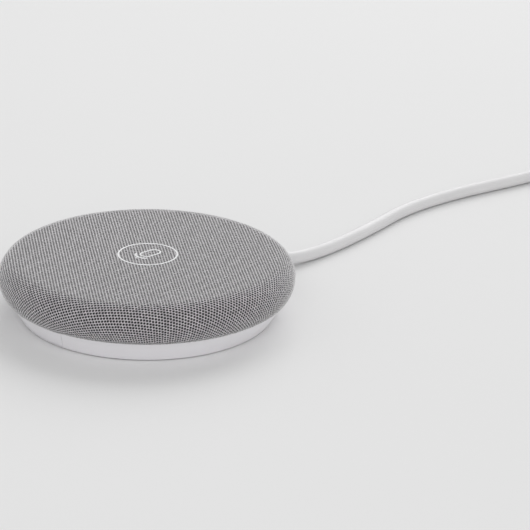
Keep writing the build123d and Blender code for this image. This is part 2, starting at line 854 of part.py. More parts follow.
with BuildPart() as plug_body:
    with BuildSketch(Plane.XZ.offset(-grip_end)):
        with Locations((boot_end[0], plug_axis)):
            RectangleRounded(plug_width, plug_thickness, plug_edge)
    extrude(amount=plug_length)
save(plug_body.part, "plug_body")

with BuildPart() as plug_shell:
    with Locations((boot_end[0], shell_root - plug_shell_length / 2, plug_axis)):
        Box(plug_shell_width, plug_shell_length, plug_shell_height)
        Box(
            plug_shell_width - 2 * plug_shell_wall,
            plug_shell_length,
            plug_shell_height - 2 * plug_shell_wall,
            mode=Mode.SUBTRACT,
        )
save(plug_shell.part, "plug_shell")

with BuildPart() as plug_insert:
    with Locations((boot_end[0], shell_root - plug_shell_length / 2, plug_axis)):
        Box(
            plug_shell_width - 2 * plug_shell_wall,
            plug_shell_length,
            plug_shell_height - 2 * plug_shell_wall,
        )
    with Locations((boot_end[0], shell_root - plug_shell_length / 2 - socket_back / 2, plug_axis)):
        Box(
            tongue_width + plug_slot_fit,
            plug_shell_length - socket_back,
            tongue_thickness + plug_slot_fit,
            mode=Mode.SUBTRACT,
        )
save(plug_insert.part, "plug_insert")
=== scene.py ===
import json
import math

import bmesh
import bpy
import numpy as np
from mathutils import Matrix, Vector


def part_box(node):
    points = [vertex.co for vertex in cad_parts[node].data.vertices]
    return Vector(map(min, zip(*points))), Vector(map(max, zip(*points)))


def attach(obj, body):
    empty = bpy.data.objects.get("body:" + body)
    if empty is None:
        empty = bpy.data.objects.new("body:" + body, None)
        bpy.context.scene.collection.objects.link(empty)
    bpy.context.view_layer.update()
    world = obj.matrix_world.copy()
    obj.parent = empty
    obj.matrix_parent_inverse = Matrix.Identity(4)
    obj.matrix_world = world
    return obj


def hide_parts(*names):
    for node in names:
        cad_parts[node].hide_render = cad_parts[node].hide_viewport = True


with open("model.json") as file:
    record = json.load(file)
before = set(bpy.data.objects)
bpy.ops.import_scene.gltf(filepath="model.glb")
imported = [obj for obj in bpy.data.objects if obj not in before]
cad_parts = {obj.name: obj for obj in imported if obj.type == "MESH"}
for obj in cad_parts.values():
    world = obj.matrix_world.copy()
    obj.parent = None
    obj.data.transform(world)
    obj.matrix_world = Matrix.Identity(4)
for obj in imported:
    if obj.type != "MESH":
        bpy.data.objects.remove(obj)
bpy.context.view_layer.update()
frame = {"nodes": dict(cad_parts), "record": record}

# Lengths are in millimetres where no comment says metres. MM turns them into metres, and X, Y and Z number
# the axes.
MM = 0.001
X, Y, Z = 0, 1, 2

# Camera, from the pod's outline in the photograph
IMAGE = 530
FOCAL_PX = 2467.0
SENSOR = 36.0
CLIP_START = 10.0 * MM
CLIP_END = 20000.0 * MM
CAMERA_DISTANCE = 850.0 * MM
CAMERA_AZIMUTH = math.radians(50.0)
CAMERA_ELEVATION = math.radians(21.9)
TARGET = Vector((0, 0, 10.5 * MM))
TARGET_PX = (147.33, 282.29)

# Pod outline, the same sizes as in the part's source
BODY_RADIUS = 51.0
BODY_HEIGHT = 21.0
SEAM_HEIGHT = 7.9
TUCK_DROP = 5.8
TUCK_IN = 2.25
CROWN_RISE = 0.24


def link(name, data):
    """A new object in the scene."""
    thing = bpy.data.objects.new(name, data)
    bpy.context.scene.collection.objects.link(thing)
    return thing


def mesh_piece(name, points, faces):
    """A smooth mesh object from points in millimetres."""
    mesh = bpy.data.meshes.new(name)
    mesh.from_pydata([(x * MM, y * MM, z * MM) for x, y, z in points], [], faces)
    mesh.update()
    mesh.shade_smooth()
    return link(name, mesh)


def node_span(node, axis):
    """Lowest and highest place of a node along an axis, in millimetres."""
    low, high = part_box(node)
    return low[axis] / MM, high[axis] / MM


def place_camera():
    """Looks at the pod from the photograph's side, turned so that the pod stands left of the middle."""
    back = Vector(
        (
            math.sin(CAMERA_AZIMUTH) * math.cos(CAMERA_ELEVATION),
            -math.cos(CAMERA_AZIMUTH) * math.cos(CAMERA_ELEVATION),
            math.sin(CAMERA_ELEVATION),
        )
    )
    data = bpy.data.cameras.new("camera")
    data.sensor_width = SENSOR
    data.lens = FOCAL_PX * SENSOR / IMAGE
    data.clip_start = CLIP_START
    data.clip_end = CLIP_END
    camera = link("camera", data)
    camera.rotation_mode = "QUATERNION"
    camera.location = TARGET + back * CAMERA_DISTANCE
    aim = (-back).to_track_quat("-Z", "Y")
    axis = Vector((IMAGE / 2 - TARGET_PX[0], TARGET_PX[1] - IMAGE / 2, -FOCAL_PX))
    turn = Vector((0, 0, -1)).rotation_difference(axis.normalized())
    camera.rotation_quaternion = aim @ turn
    bpy.context.scene.camera = camera


place_camera()

# Materials. Noise keeps mostly between NOISE_LOW and NOISE_HIGH. HOLE_SHADE is the range of depth in which
# yarn turns into a hole's painted shade, the holes' shadow painted into the yarn. Relief is in metres.
NOISE_LOW = 0.3
NOISE_HIGH = 0.7
GRAIN_DETAIL = 2.0
ROUGH_SPREAD = 0.06
FIBRE_SCALE = 9000.0
FIBRE_RELIEF = 0.00006
FIBRE_ROUGH = (0.78, 0.95)
YARN_DARK = (0.412, 0.395, 0.412)
YARN_PALE = (0.764, 0.734, 0.762)
HOLE_PAINTED_SHADE = (0.058, 0.056, 0.0615)
HOLE_SHADE = (0.25, 0.9)


def new_material(name):
    """A node material with its shader and the object's own coordinates."""
    made = bpy.data.materials.new(name)
    made.use_nodes = True
    tree = made.node_tree
    shader = tree.nodes["Principled BSDF"]
    place = tree.nodes.new("ShaderNodeTexCoord").outputs["Object"]
    return made, tree, shader, place


def noise(tree, place, scale, detail=3.0):
    """Noise over the object, its features about 1 / scale metres wide."""
    texture = tree.nodes.new("ShaderNodeTexNoise")
    texture.inputs["Scale"].default_value = scale
    texture.inputs["Detail"].default_value = detail
    tree.links.new(place, texture.inputs["Vector"])
    return texture.outputs["Fac"]


def attribute(tree, name):
    """A value that the mesh keeps at its points."""
    node = tree.nodes.new("ShaderNodeAttribute")
    node.attribute_name = name
    return node.outputs["Fac"]


def blend_colours(tree, share, first, second):
    """Mixes two colours by a value. The first one may also come from a node."""
    mix = tree.nodes.new("ShaderNodeMix")
    mix.data_type = "RGBA"
    if isinstance(first, tuple):
        mix.inputs["A"].default_value = (*first, 1)
    else:
        tree.links.new(first, mix.inputs["A"])
    mix.inputs["B"].default_value = (*second, 1)
    tree.links.new(share, mix.inputs["Factor"])
    return mix.outputs["Result"]


def spread(tree, value, low, high, to_low, to_high):
    """Maps a value from one range to another."""
    ramp = tree.nodes.new("ShaderNodeMapRange")
    ramp.inputs["From Min"].default_value = low
    ramp.inputs["From Max"].default_value = high
    ramp.inputs["To Min"].default_value = to_low
    ramp.inputs["To Max"].default_value = to_high
    tree.links.new(value, ramp.inputs["Value"])
    return ramp.outputs["Result"]


def bump(tree, shader, height, distance):
    """Fine relief from a value, its depth in metres."""
    relief = tree.nodes.new("ShaderNodeBump")
    relief.inputs["Distance"].default_value = distance
    tree.links.new(height, relief.inputs["Height"])
    tree.links.new(relief.outputs["Normal"], shader.inputs["Normal"])


def shade(colour, share):
    """A colour made lighter or darker by a share."""
    return tuple(c * (1 + share) for c in colour)


def moulded(name, colour, rough, vary, grain=5000.0, relief=0.00002, metal=0.0, clouds=90.0):
    """Moulded or rolled stuff: slow colour clouds, fine grain and a roughness that follows it."""
    made, tree, shader, place = new_material(name)
    slow = noise(tree, place, clouds)
    fine = noise(tree, place, grain, GRAIN_DETAIL)
    share = spread(tree, slow, NOISE_LOW, NOISE_HIGH, 0.0, 1.0)
    clouded = blend_colours(tree, share, shade(colour, -vary), shade(colour, vary))
    uneven = spread(tree, fine, NOISE_LOW, NOISE_HIGH, rough - ROUGH_SPREAD, rough + ROUGH_SPREAD)
    tree.links.new(clouded, shader.inputs["Base Color"])
    tree.links.new(uneven, shader.inputs["Roughness"])
    bump(tree, shader, fine, relief)
    shader.inputs["Metallic"].default_value = metal
    return made


def knit_material():
    """Pale yarn with painted shade down in the holes, and a heather of single stitches."""
    made, tree, shader, place = new_material("knit_mesh")
    fibres = noise(tree, place, FIBRE_SCALE)
    yarn = blend_colours(tree, attribute(tree, "tone"), YARN_DARK, YARN_PALE)
    # Painted shade: the yarn darkens down towards each hole's rim, where shadow falls in the holes.
    depth = spread(tree, attribute(tree, "sink"), *HOLE_SHADE, 0.0, 1.0)
    tree.links.new(blend_colours(tree, depth, yarn, HOLE_PAINTED_SHADE), shader.inputs["Base Color"])
    uneven = spread(tree, fibres, NOISE_LOW, NOISE_HIGH, *FIBRE_ROUGH)
    tree.links.new(uneven, shader.inputs["Roughness"])
    bump(tree, shader, fibres, FIBRE_RELIEF)
    shader.inputs["Sheen Weight"].default_value = 1.0
    shader.inputs["Sheen Roughness"].default_value = 0.5
    shader.inputs["Specular IOR Level"].default_value = 0.2
    return made


# Each row has a colour, a roughness and a change of colour. Where they aren't the usual ones, it also has
# grain per metre, relief in metres, metal and clouds per metre.
MOULDED = {
    "dark_plastic": ((0.012, 0.012, 0.013), 0.6, 0.15),
    "pale_plastic": ((0.895, 0.881, 0.905), 0.5, 0.012, 4200.0, 0.000012, 0.0, 60.0),
    "foot_rubber": ((0.16, 0.16, 0.165), 0.75, 0.10, 3000.0, 0.00004),
    "steel": ((0.42, 0.42, 0.43), 0.38, 0.08, 2500.0, 0.00002, 1.0),
    "board": ((0.012, 0.055, 0.030), 0.45, 0.25, 1500.0, 0.00002),
    "can_metal": ((0.55, 0.55, 0.56), 0.32, 0.05, 2500.0, 0.00001, 1.0),
    "chip_plastic": ((0.020, 0.020, 0.022), 0.5, 0.15, 6000.0, 0.00002),
    "connector_metal": ((0.55, 0.55, 0.56), 0.4, 0.05, 3000.0, 0.000008, 1.0),
    "connector_plastic": ((0.018, 0.018, 0.020), 0.45, 0.15),
    "lead_rubber": ((0.83, 0.825, 0.83), 0.55, 0.02, 3500.0, 0.00002),
    "lead_jacket": ((0.75, 0.745, 0.75), 0.43, 0.02, 2600.0, 0.00002),
    "lamp_plastic": ((0.62, 0.60, 0.50), 0.4, 0.06),
    "guide_plastic": ((0.030, 0.030, 0.032), 0.4, 0.12),
    "screw_steel": ((0.30, 0.30, 0.31), 0.35, 0.10, 3000.0, 0.00001, 1.0),
    "mic_metal": ((0.62, 0.60, 0.56), 0.35, 0.06, 3000.0, 0.00001, 1.0),
    "boot_rubber": ((0.025, 0.025, 0.027), 0.8, 0.15, 3000.0, 0.00004),
    "strap": ((0.045, 0.045, 0.048), 0.9, 0.25, 1800.0, 0.00012),
    "plug_plastic": ((0.83, 0.825, 0.83), 0.48, 0.02, 3200.0, 0.00002),
    "knit_liner": ((0.038, 0.037, 0.039), 0.92, 0.25, 2600.0, 0.00006),
    "contact_gold": ((0.75, 0.55, 0.22), 0.3, 0.05, 3000.0, 0.000005, 1.0),
    "print_ink": ((0.86, 0.86, 0.87), 0.6, 0.05, 2500.0, 0.00003, 0.0, 900.0),
}
MATERIALS = {name: moulded(name, *look) for name, look in MOULDED.items()}
MATERIALS["knit_mesh"] = knit_material()


def dress(piece, material):
    """Gives a piece its one material."""
    piece.data.materials.clear()
    piece.data.materials.append(MATERIALS[material])
    return piece


for entry in frame["record"]["subparts"]:
    dress(frame["nodes"][entry["node"]], entry["material_slot"])

# Lead: one smooth curve from the header on the board through the gland and the coil to the plug
CORD_DIAMETER = 4.8
CORD_ROUND_STEPS = 6
CORD_STEPS = 10
EXIT_HEIGHT = 4.4
LIE_HEIGHT = 2.5
COIL_HEIGHT = 3.8
COIL_PITCH = 5.35
COIL_LAYERS = 4
COIL_HALF_TURNS = 7
COIL_OUTER = 38.2
COIL_TURN_ROOM = 0.75
COIL_MIDDLE = (35.6, 276.3)
COIL_TOP = COIL_HEIGHT + (COIL_LAYERS - 1) * COIL_PITCH
STEPS_PER_HALF_TURN = 6
PLUG_X = COIL_MIDDLE[X] + COIL_OUTER
PLUG_AXIS = 3.0
LEAD_EXIT = (0, 55.5, EXIT_HEIGHT)
LEAD_ROUTE = [
    (0, node_span("lead_header", Y)[1], EXIT_HEIGHT),
    (0, 48.0, EXIT_HEIGHT),
    LEAD_EXIT,
    (2.8, 74.0, LIE_HEIGHT),
    (-1.0, 104.0, LIE_HEIGHT),
    (-12.5, 147.2, LIE_HEIGHT),
    (-1.5, 215.5, LIE_HEIGHT),
    (-2.6, 258.0, COIL_HEIGHT),
]
TAIL_ROUTE = [
    (PLUG_X, COIL_MIDDLE[Y], COIL_TOP),
    (PLUG_X, 253.5, COIL_TOP),
    (PLUG_X, 219.5, PLUG_AXIS),
    (PLUG_X, 201.5, PLUG_AXIS),
]


def coil_radii(layer):
    """Distances from the coil's middle at the ends of a layer's half turns."""
    radii = [COIL_OUTER - n * COIL_PITCH / 2 for n in range(COIL_HALF_TURNS + 1)]
    radii[-1] -= COIL_TURN_ROOM
    if 0 < layer < COIL_LAYERS - 1:
        radii[0] += COIL_TURN_ROOM
    return radii if layer % 2 == 0 else radii[::-1]


def coil_points():
    """Control points of the turns, each a little outside the line that the spline takes."""
    spans = []
    for layer in range(COIL_LAYERS):
        height = COIL_HEIGHT + layer * COIL_PITCH
        radii = coil_radii(layer)
        if layer > 0:
            spans.append((spans[-1][1], radii[0], height - COIL_PITCH, height))
        spans += [(first, last, height, height) for first, last in zip(radii, radii[1:])]
    step = math.pi / STEPS_PER_HALF_TURN
    outside = 1 / math.cos(step / 2)
    points = []
    for number, (first, last, low, high) in enumerate(spans):
        for n in range(STEPS_PER_HALF_TURN):
            share = (1 - math.cos(n * step)) / 2
            radius = outside * (first + (last - first) * share)
            angle = math.pi * (1 - number) - n * step
            points.append(
                (
                    COIL_MIDDLE[X] + radius * math.cos(angle),
                    COIL_MIDDLE[Y] + radius * math.sin(angle),
                    low + (high - low) * share,
                )
            )
    return points


def make_lead():
    """The whole lead, round in section."""
    data = bpy.data.curves.new("lead", "CURVE")
    data.dimensions = "3D"
    data.bevel_depth = CORD_DIAMETER / 2 * MM
    data.bevel_resolution = CORD_ROUND_STEPS
    data.resolution_u = CORD_STEPS
    data.use_fill_caps = True
    route = LEAD_ROUTE + coil_points() + TAIL_ROUTE
    spline = data.splines.new("NURBS")
    spline.points.add(len(route) - 1)
    for point, (x, y, z) in zip(spline.points, route):
        point.co = (x * MM, y * MM, z * MM, 1)
    spline.order_u = 3
    spline.use_endpoint_u = True
    return link("lead", data)


lead = dress(make_lead(), "lead_jacket")
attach(lead, "pod")
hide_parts("inner_lead", "cord_lead", "cord_coil", "cord_tail")

# Small solid pieces, each a skin or several skins over rings of points
CREASE_ANGLE = math.radians(35.0)
MERGE_DISTANCE = 0.0001 * MM


def rounded_rectangle(width, height, edge, steps=5):
    """Points round a rectangle with round corners."""
    points = []
    for quarter, (right, up) in enumerate(((1, 1), (-1, 1), (-1, -1), (1, -1))):
        for n in range(steps + 1):
            turn = (quarter + n / steps) * math.pi / 2
            across = right * (width / 2 - edge) + edge * math.cos(turn)
            points.append((across, up * (height / 2 - edge) + edge * math.sin(turn)))
    return points


def skin(rings, closed=False):
    """Points and faces over rings of points, with caps at its ends or closed all the way round."""
    count = len(rings[0])
    points = [point for ring in rings for point in ring]
    faces = []
    for n in range(len(rings) if closed else len(rings) - 1):
        m = (n + 1) % len(rings)
        for k in range(count):
            j = (k + 1) % count
            faces.append((n * count + k, n * count + j, m * count + j, m * count + k))
    if not closed:
        faces.append(tuple(range(count)))
        faces.append(tuple(range(len(points) - count, len(points))))
    return points, faces


def solid_piece(name, skins, material):
    """One piece of the pod from several skins, with crisp creases."""
    points, faces = [], []
    for more_points, more_faces in skins:
        start = len(points)
        points += more_points
        faces += [tuple(start + k for k in face) for face in more_faces]
    piece = mesh_piece(name, points, faces)
    work = bmesh.new()
    work.from_mesh(piece.data)
    bmesh.ops.remove_doubles(work, verts=work.verts, dist=MERGE_DISTANCE)
    bmesh.ops.recalc_face_normals(work, faces=work.faces)
    work.to_mesh(piece.data)
    work.free()
    piece.data.set_sharp_from_angle(angle=CREASE_ANGLE)
    dress(piece, material)
    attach(piece, "pod")
    return piece


# Plug, along -Y: ribbed strain relief, grooved grip, metal case and contacts
PLUG_THICKNESS = 5.8
PLUG_WIDTH = 14.4
PLUG_EDGE = 1.5
NEARLY_ROUND = 0.98
RELIEF_WIDTH = 9.0
RELIEF_RIBS = 5
RELIEF_GROOVE = 0.55
GRIP_GROOVES = 5
GRIP_GROOVE_FROM = 7.0
GRIP_GROOVE_PITCH = 2.2
GRIP_GROOVE_WIDTH = 1.0
GRIP_GROOVE_SLOPE = 0.2
GRIP_GROOVE = 0.28
CASE_WIDTH = 10.6
CASE_HEIGHT = 3.8
CASE_EDGE = 0.9
CASE_WALL = 0.3

# Outlines along the plug: a place, and how far in the skin lies there. The relief's are shares of its length
# or of a rib's pitch, and of a groove's depth. The others are distances from an end.
RELIEF_LIP = [(0.0, 0.4), (0.03, 0.0)]
RELIEF_RIB = [(0.5, 0), (0.58, 1), (0.92, 1), (1.0, 0)]
GRIP_END = [(0.0, 0.9), (0.25, 0.35), (0.7, 0.08), (1.2, 0.0)]
CASE_RIM = [(0.25, 0.0), (0.0, 0.1), (0.0, 0.2), (0.15, CASE_WALL)]


def plug_ring(y, width, height, edge, dip):
    """A rounded rectangle round the plug's axis, drawn in all round by a dip."""
    section = rounded_rectangle(width - 2 * dip, height - 2 * dip, edge - dip)
    return [(PLUG_X + across, y, PLUG_AXIS + up) for across, up in section]


def make_relief():
    """Strain relief: round at the lead, flat at the grip, with grooves round it."""
    low, high = node_span("plug_boot", Y)
    steps = list(RELIEF_LIP)
    for n in range(RELIEF_RIBS):
        steps += [((n + share) / RELIEF_RIBS, dip) for share, dip in RELIEF_RIB]
    rings = []
    for share, dip in steps:
        width = PLUG_THICKNESS + (RELIEF_WIDTH - PLUG_THICKNESS) * share
        edge = PLUG_THICKNESS / 2 * NEARLY_ROUND + (PLUG_EDGE - PLUG_THICKNESS / 2) * share
        y = high + (low - high) * share
        rings.append(plug_ring(y, width, PLUG_THICKNESS, edge, dip * RELIEF_GROOVE))
    piece = solid_piece("plug_relief", [skin(rings)], "lead_rubber")
    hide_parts("plug_boot")
    return piece


def make_grip():
    """Grip with rounded ends and shallow grooves for the fingers."""
    low, high = node_span("plug_body", Y)
    steps = list(GRIP_END)
    for n in range(GRIP_GROOVES):
        start = GRIP_GROOVE_FROM + n * GRIP_GROOVE_PITCH
        end = start + GRIP_GROOVE_WIDTH
        steps += [
            (start, 0),
            (start + GRIP_GROOVE_SLOPE, GRIP_GROOVE),
            (end - GRIP_GROOVE_SLOPE, GRIP_GROOVE),
            (end, 0),
        ]
    steps += [(high - low - place, dip) for place, dip in reversed(GRIP_END)]
    rings = [plug_ring(high - place, PLUG_WIDTH, PLUG_THICKNESS, PLUG_EDGE, dip) for place, dip in steps]
    piece = solid_piece("plug_grip", [skin(rings)], "plug_plastic")
    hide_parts("plug_body")
    return piece


def make_case():
    """Thin metal case, open at the tip, with a rolled rim."""
    low, high = node_span("plug_shell", Y)
    steps = [(high, 0.0)] + [(low + place, dip) for place, dip in CASE_RIM] + [(high, CASE_WALL)]
    rings = [plug_ring(y, CASE_WIDTH, CASE_HEIGHT, CASE_EDGE, dip) for y, dip in steps]
    piece = solid_piece("plug_case", [skin(rings, closed=True)], "connector_metal")
    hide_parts("plug_shell")
    return piece


plug_relief = make_relief()
plug_grip = make_grip()
plug_case = make_case()

# Contacts in plug and socket. Their outline has shares of the length and the bend towards the axis.
CONTACT_COUNT = 8
CONTACT_PITCH = 1.0
CONTACT_WIDTH = 0.5
CONTACT_THICKNESS = 0.16
CONTACT_EDGE = 0.05
CONTACT_OUTLINE = [(0.0, 0.12), (0.08, 0.03), (0.16, 0.0), (1.0, 0.0)]
CONTACT_ROOT = 2.4
PLUG_CONTACT_TIP = 0.6
PLUG_SLOT_HALF = 0.7
SOCKET_CONTACT_TIP = 0.3
TONGUE_HALF = 0.6


def make_contacts(name, middle, axis, half, start, end):
    """Two rows of flat spring contacts, above and below an axis, with tips that bend towards it."""
    section = rounded_rectangle(CONTACT_WIDTH, CONTACT_THICKNESS, CONTACT_EDGE, steps=2)
    skins = []
    for side in (1, -1):
        for n in range(CONTACT_COUNT):
            x = middle + (n - (CONTACT_COUNT - 1) / 2) * CONTACT_PITCH
            rings = []
            for share, bend in CONTACT_OUTLINE:
                y = start + (end - start) * share
                z = axis + side * (half - bend)
                rings.append([(x + across, y, z + rise) for across, rise in section])
            skins.append(skin(rings))
    return solid_piece(name, skins, "contact_gold")


tip, root = node_span("plug_insert", Y)
plug_contacts = make_contacts(
    "plug_contacts", PLUG_X, PLUG_AXIS, PLUG_SLOT_HALF, tip + PLUG_CONTACT_TIP, root - CONTACT_ROOT
)
tip, root = node_span("socket_tongue", Y)
socket_axis = sum(node_span("socket_tongue", Z)) / 2
make_contacts(
    "socket_contacts", 0.0, socket_axis, TONGUE_HALF, tip + SOCKET_CONTACT_TIP, root - CONTACT_ROOT
)

# Ribs round the gland, each sunk into it. The flat of a rib is a share of its width, and the room at the
# gland's tip a share of the ribs' pitch.
GLAND_ROOT = 45.9
GLAND_ROOT_WIDTH = 9.6
GLAND_ROOT_HEIGHT = 5.2
GLAND_ROOT_EDGE = 2.0
GLAND_TIP_RADIUS = 3.4
GLAND_RIBS = 4
GLAND_TIP_ROOM = 0.3
RIB_HALF = 0.5
RIB_PROUD = 0.35
RIB_SINK = 0.6
RIB_FLAT = 0.6
RIB_OUTLINE = [
    (-1, -RIB_SINK),
    (-1, 0),
    (-RIB_FLAT, RIB_PROUD),
    (RIB_FLAT, RIB_PROUD),
    (1, 0),
    (1, -RIB_SINK),
]


def make_gland_ribs():
    """Raised ribs round the gland's taper."""
    end = node_span("cord_gland", Y)[1]
    skins = []
    for n in range(GLAND_RIBS):
        middle = GLAND_ROOT + (end - GLAND_ROOT) * (n + 1) / (GLAND_RIBS + GLAND_TIP_ROOM)
        rings = []
        for place, proud in RIB_OUTLINE:
            y = middle + place * RIB_HALF
            share = (y - GLAND_ROOT) / (end - GLAND_ROOT)
            width = GLAND_ROOT_WIDTH + (2 * GLAND_TIP_RADIUS - GLAND_ROOT_WIDTH) * share + 2 * proud
            height = GLAND_ROOT_HEIGHT + (2 * GLAND_TIP_RADIUS - GLAND_ROOT_HEIGHT) * share + 2 * proud
            edge = GLAND_ROOT_EDGE + (NEARLY_ROUND * GLAND_TIP_RADIUS - GLAND_ROOT_EDGE) * share + proud
            rings.append([(x, y, EXIT_HEIGHT + up) for x, up in rounded_rectangle(width, height, edge)])
        skins.append(skin(rings, closed=True))
    return solid_piece("gland_ribs", skins, "lead_rubber")


gland_ribs = make_gland_ribs()

# Foot: a rubber ring with grip grooves underneath. The floor of a groove is a share of its width.
FOOT_WIDTH = 9.6
FOOT_CHAMFER = 0.12
FOOT_GROOVES = 6
FOOT_GROOVE_HALF = 0.4
FOOT_GROOVE_FLOOR = 0.7
FOOT_GROOVE_DEPTH = 0.3
FOOT_STEPS = 180


def make_foot():
    """Rubber ring, grooved underneath."""
    outer = node_span("foot_ring", X)[1]
    top = node_span("foot_ring", Z)[1]
    inner = outer - FOOT_WIDTH
    floor_half = FOOT_GROOVE_HALF * FOOT_GROOVE_FLOOR
    outline = [(inner, top), (inner, FOOT_CHAMFER), (inner + FOOT_CHAMFER, 0)]
    for n in range(FOOT_GROOVES):
        middle = inner + FOOT_WIDTH * (n + 1) / (FOOT_GROOVES + 1)
        outline += [
            (middle - FOOT_GROOVE_HALF, 0),
            (middle - floor_half, FOOT_GROOVE_DEPTH),
            (middle + floor_half, FOOT_GROOVE_DEPTH),
            (middle + FOOT_GROOVE_HALF, 0),
        ]
    outline += [(outer - FOOT_CHAMFER, 0), (outer, FOOT_CHAMFER), (outer, top)]
    rings = []
    for n in range(FOOT_STEPS):
        turn = 2 * math.pi * n / FOOT_STEPS
        across, along = math.cos(turn), math.sin(turn)
        rings.append([(radius * across, radius * along, height) for radius, height in outline])
    piece = solid_piece("foot_pad", [skin(rings, closed=True)], "foot_rubber")
    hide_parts("foot_ring")


make_foot()

# Strap round the coil: it goes once round and closes on itself on top. Its reach is a share of the way back.
STRAP_WIDTH = 12.0
STRAP_THICKNESS = 1.0
STRAP_EDGE = 0.3
STRAP_CORNER = 3.2
STRAP_START = 1.0
STRAP_LAP = 1.08
STRAP_REACH = 0.72
STRAP_END = 5.0
END_STEPS = 9
CORNER_STEPS = 8


def make_strap():
    """Hook-and-loop strap with a rounded free end."""
    half = STRAP_THICKNESS / 2
    left, right = node_span("cord_tie", Y)
    low, high = node_span("cord_tie", Z)
    left, right, low, high = left + half, right - half, low + half, high - half
    middle_x = sum(node_span("cord_tie", X)) / 2
    line = [(left + STRAP_CORNER + STRAP_START, high)]
    corners = [
        (right - STRAP_CORNER, high - STRAP_CORNER, 90),
        (right - STRAP_CORNER, low + STRAP_CORNER, 0),
        (left + STRAP_CORNER, low + STRAP_CORNER, -90),
        (left + STRAP_CORNER, high + STRAP_LAP - STRAP_CORNER, -180),
    ]
    for y, z, start in corners:
        for n in range(CORNER_STEPS + 1):
            turn = math.radians(start - 90 * n / CORNER_STEPS)
            line.append((y + STRAP_CORNER * math.cos(turn), z + STRAP_CORNER * math.sin(turn)))
    shares = [1.0] * len(line)
    tip = left + STRAP_REACH * (right - left)
    for n in range(END_STEPS):
        left_over = math.cos(math.radians(90 * n / END_STEPS))
        line.append((tip - STRAP_END * left_over, high + STRAP_LAP))
        shares.append(math.sqrt(1 - (1 - left_over) ** 2))
    section = rounded_rectangle(STRAP_WIDTH, STRAP_THICKNESS, STRAP_EDGE, steps=3)
    rings = []
    for n, (y, z) in enumerate(line):
        before, after = line[max(n - 1, 0)], line[min(n + 1, len(line) - 1)]
        way = Vector((after[0] - before[0], after[1] - before[1])).normalized()
        rings.append([(middle_x + u * shares[n], y - way.y * v, z + way.x * v) for u, v in section])
    piece = solid_piece("strap_loop", [skin(rings)], "strap")
    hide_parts("cord_tie")
    return piece


strap = make_strap()

# Knit cover: its outline from the middle over crown, shoulder and tuck to a hem that turns under the rim
HEM_TURN = 0.35
HEM_WIDTH = 2.0
SHOULDER_RADIUS = BODY_HEIGHT - SEAM_HEIGHT - TUCK_DROP - CROWN_RISE
SHOULDER_CENTRE = BODY_RADIUS - SHOULDER_RADIUS
WIDEST_HEIGHT = SEAM_HEIGHT + TUCK_DROP
TUCK_RADIUS = (TUCK_DROP**2 + TUCK_IN**2) / (2 * TUCK_IN)
CROWN_RADIUS = (
    SHOULDER_CENTRE**2 + (BODY_HEIGHT - WIDEST_HEIGHT) ** 2 - SHOULDER_RADIUS**2
) / (2 * CROWN_RISE)
CROWN_ANGLE = math.asin(SHOULDER_CENTRE / (CROWN_RADIUS - SHOULDER_RADIUS))
TUCK_ANGLE = math.asin((TUCK_DROP - HEM_TURN) / TUCK_RADIUS)
CROWN_LENGTH = CROWN_RADIUS * CROWN_ANGLE
SHOULDER_LENGTH = SHOULDER_RADIUS * (math.pi / 2 - CROWN_ANGLE)
TUCK_LENGTH = TUCK_RADIUS * TUCK_ANGLE
TURN_LENGTH = HEM_TURN * (math.pi / 2 - TUCK_ANGLE)
CLOTH_LENGTH = CROWN_LENGTH + SHOULDER_LENGTH + TUCK_LENGTH + TURN_LENGTH + HEM_WIDTH

# Knit laid out flat: holes in a centred rectangular lattice, a little slack past the top
KNIT_SEED = 7
KNIT_ACROSS = 1.635
KNIT_ALONG = 1.264
KNIT_TURN = math.radians(4.3)
KNIT_JITTER = 0.033
KNIT_SLACK_FROM = 48.0
KNIT_SLACK = 0.006
KNIT_REACH = CLOTH_LENGTH + KNIT_SLACK * (CLOTH_LENGTH - KNIT_SLACK_FROM) ** 2
HOLE_RADIUS = 0.36
HOLE_DEPTH = 0.07
HOLE_ANGLE = math.radians(57.0)
KEYS_PER_MM = 1000


def profile(along):
    """Radius, height and outward direction of the cloth at a distance along it from the middle."""
    if along < CROWN_LENGTH:
        turn = along / CROWN_RADIUS
        out = (math.sin(turn), math.cos(turn))
        return CROWN_RADIUS * out[0], BODY_HEIGHT - CROWN_RADIUS * (1 - out[1]), out
    along -= CROWN_LENGTH
    if along < SHOULDER_LENGTH:
        turn = CROWN_ANGLE + along / SHOULDER_RADIUS
        out = (math.sin(turn), math.cos(turn))
        return SHOULDER_CENTRE + SHOULDER_RADIUS * out[0], WIDEST_HEIGHT + SHOULDER_RADIUS * out[1], out
    along -= SHOULDER_LENGTH
    if along < TUCK_LENGTH:
        turn = along / TUCK_RADIUS
        out = (math.cos(turn), -math.sin(turn))
        return BODY_RADIUS - TUCK_RADIUS * (1 - out[0]), WIDEST_HEIGHT + TUCK_RADIUS * out[1], out
    along -= TUCK_LENGTH
    edge = (math.cos(TUCK_ANGLE), -math.sin(TUCK_ANGLE))
    turn_radius = BODY_RADIUS - TUCK_RADIUS * (1 - edge[0]) - HEM_TURN * edge[0]
    turn_height = WIDEST_HEIGHT + TUCK_RADIUS * edge[1] - HEM_TURN * edge[1]
    if along < TURN_LENGTH:
        turn = TUCK_ANGLE + along / HEM_TURN
        out = (math.cos(turn), -math.sin(turn))
        return turn_radius + HEM_TURN * out[0], turn_height + HEM_TURN * out[1], out
    return turn_radius - (along - TURN_LENGTH), turn_height - HEM_TURN, (0.0, -1.0)


def drawn_over(x, y, inset):
    """Where a point of the flat knit lies on the dome. Past the top the knit is gathered a little."""
    flat = math.hypot(x, y)
    along = flat
    if flat > KNIT_SLACK_FROM:
        root = math.sqrt(1 + 4 * KNIT_SLACK * (flat - KNIT_SLACK_FROM))
        along = KNIT_SLACK_FROM + (root - 1) / (2 * KNIT_SLACK)
    radius, height, out = profile(along)
    reach = (radius - inset * out[0]) / flat
    return x * reach, y * reach, height - inset * out[1]


